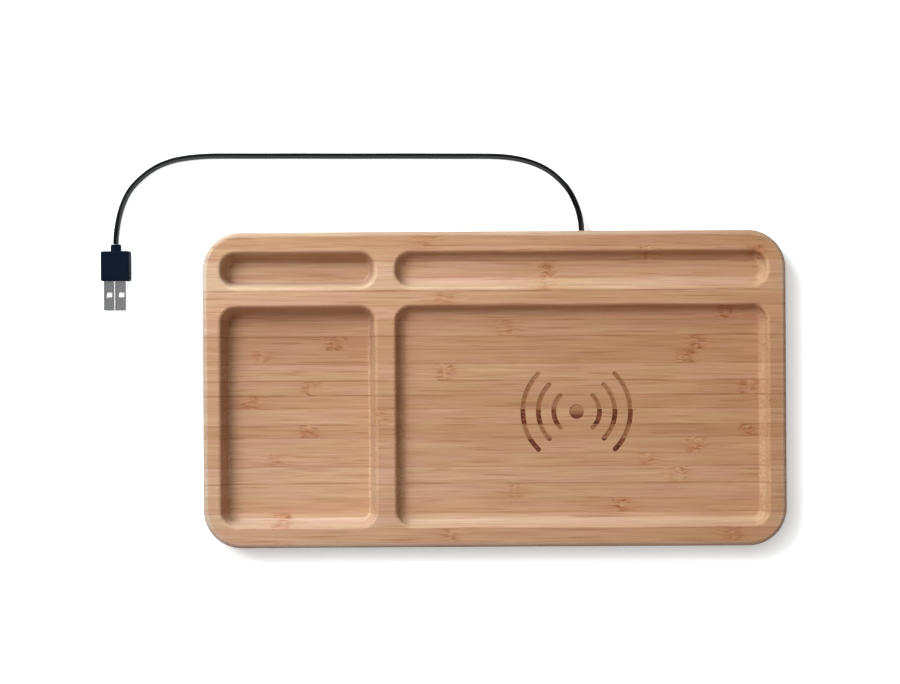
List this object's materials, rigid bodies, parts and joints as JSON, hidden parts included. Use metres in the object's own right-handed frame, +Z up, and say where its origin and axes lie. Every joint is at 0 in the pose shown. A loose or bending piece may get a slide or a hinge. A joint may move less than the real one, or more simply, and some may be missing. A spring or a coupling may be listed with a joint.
{
  "type": "wireless charging desk tray",
  "caption": "Bamboo desk tray with a wireless charging coil under a shallow phone pocket, a pen slot, a small slot, a deep tray and a captive USB cable.",
  "frame": {"origin": "middle of the tray in plan, on the desk surface under its feet", "axes": "+X along the tray from the deep pockets to the charging pocket, +Y from the front edge to the rear edge where the cable leaves, +Z up"},
  "size_m": [0.3417, 0.1975, 0.0216],
  "materials": {
    "bamboo": "sanded bamboo, satin oil",
    "cover_plastic": "fine moulded texture",
    "rubber": "matt",
    "screw_steel": "zinc plated",
    "copper": "enamelled litz wire",
    "ferrite": "pressed ferrite",
    "pad_film": "foam film",
    "board": "solder mask",
    "chip": "moulded epoxy",
    "capacitor": "sintered ceramic",
    "spacer_nylon": "natural nylon",
    "cable_jacket": "soft PVC, satin",
    "wire_red": "PVC",
    "wire_black": "PVC",
    "plug_plastic": "moulded PVC, satin",
    "plug_steel": "nickel plated steel",
    "plug_insulator": "moulded",
    "gold": "gold plated"
  },
  "bodies": {
    "root": {"tray": "bamboo", "base_cover": "cover_plastic", "cover_screw_1": "screw_steel", "cover_screw_2": "screw_steel", "cover_screw_3": "screw_steel", "cover_screw_4": "screw_steel", "foot_1": "rubber", "foot_2": "rubber", "foot_3": "rubber", "foot_4": "rubber", "coil": "copper", "ferrite_disc": "ferrite", "insulation_pad": "pad_film", "circuit_board": "board", "board_spacer_1": "spacer_nylon", "board_spacer_2": "spacer_nylon", "board_spacer_3": "spacer_nylon", "board_spacer_4": "spacer_nylon", "board_screw_1": "screw_steel", "board_screw_2": "screw_steel", "board_screw_3": "screw_steel", "board_screw_4": "screw_steel", "controller_chip": "chip", "bridge_chip_1": "chip", "bridge_chip_2": "chip", "resonance_capacitor_1": "capacitor", "resonance_capacitor_2": "capacitor", "resonance_capacitor_3": "capacitor", "resonance_capacitor_4": "capacitor", "input_capacitor": "capacitor", "sense_resistor": "chip", "filter_inductor": "ferrite", "cable_clamp": "spacer_nylon", "clamp_screw_1": "screw_steel", "clamp_screw_2": "screw_steel", "cable_grommet": "rubber", "inner_cable": "cable_jacket", "supply_wire": "wire_red", "ground_wire": "wire_black", "usb_cable": "cable_jacket", "plug_body": "plug_plastic", "plug_shell": "plug_steel", "plug_insulator": "plug_insulator", "plug_contact_1": "gold", "plug_contact_2": "gold", "plug_contact_3": "gold", "plug_contact_4": "gold"}
  },
  "joints": []
}
